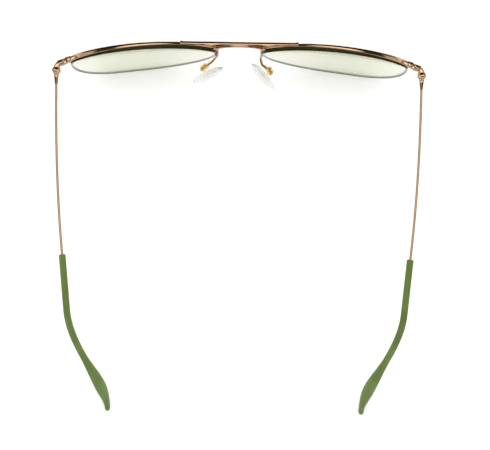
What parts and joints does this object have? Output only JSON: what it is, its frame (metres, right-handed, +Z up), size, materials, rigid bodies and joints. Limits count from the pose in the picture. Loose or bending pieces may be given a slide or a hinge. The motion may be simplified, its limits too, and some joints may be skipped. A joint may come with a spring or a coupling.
{
  "type": "aviator sunglasses",
  "caption": "Metal aviator sunglasses with a double bridge, half-rimmed tinted lenses, rocking nose pads and folding wire temples with soft sleeved tips.",
  "frame": {"origin": "on the table under the middle of the whole object's box, the glasses standing open", "axes": "+Z up; the wearer looks along -Y, so the temples run towards +Y; +X is the wearer's left"},
  "size_m": [0.1438, 0.1456, 0.049],
  "materials": {
    "rose_gold": "polished rose gold plating",
    "yellow_gold": "polished",
    "lens": "polished, pale green tint",
    "clear_nylon": "clear",
    "tip_sleeve": "satin",
    "pad_silicone": "clear, soft",
    "pad_core": "clear"
  },
  "bodies": {
    "front": {"top_bar": "rose_gold", "lower_bridge": "rose_gold", "left_lens": "lens", "right_lens": "lens", "left_rim": "rose_gold", "right_rim": "rose_gold", "left_rim_liner": "clear_nylon", "right_rim_liner": "clear_nylon", "left_lens_cord": "clear_nylon", "right_lens_cord": "clear_nylon", "left_end_piece": "rose_gold", "right_end_piece": "rose_gold", "left_end_screw": "rose_gold", "right_end_screw": "rose_gold", "left_front_hinge": "rose_gold", "right_front_hinge": "rose_gold", "left_hinge_screw": "rose_gold", "right_hinge_screw": "rose_gold", "left_pad_arm": "rose_gold", "right_pad_arm": "rose_gold", "left_pad_box": "yellow_gold", "right_pad_box": "yellow_gold", "left_pad_screw": "yellow_gold", "right_pad_screw": "yellow_gold"},
    "left_temple": {"left_temple_hinge": "rose_gold", "left_temple_wire": "rose_gold", "left_temple_tip": "tip_sleeve"},
    "right_temple": {"right_temple_hinge": "rose_gold", "right_temple_wire": "rose_gold", "right_temple_tip": "tip_sleeve"},
    "left_pad": {"left_pad_core": "pad_core", "left_nose_pad": "pad_silicone"},
    "right_pad": {"right_pad_core": "pad_core", "right_nose_pad": "pad_silicone"}
  },
  "joints": [
    {"name": "left_temple_fold", "type": "hinge", "parent": "front", "child": "left_temple", "pos_m": [0.0703, -0.0615, 0.0386], "axis": [0, 0, 1], "range_deg": [0, 81]},
    {"name": "right_temple_fold", "type": "hinge", "parent": "front", "child": "right_temple", "pos_m": [-0.0703, -0.0615, 0.0386], "axis": [0, 0, -1], "range_deg": [0, 72]},
    {"name": "left_pad_rock", "type": "hinge", "parent": "front", "child": "left_pad", "pos_m": [0.0135, -0.0644, 0.0285], "axis": [0.7193, 0.6947, 0], "range_deg": [-10, 10]},
    {"name": "right_pad_rock", "type": "hinge", "parent": "front", "child": "right_pad", "pos_m": [-0.0117, -0.0635, 0.0285], "axis": [-0.4226, 0.9063, 0], "range_deg": [-10, 10]}
  ]
}
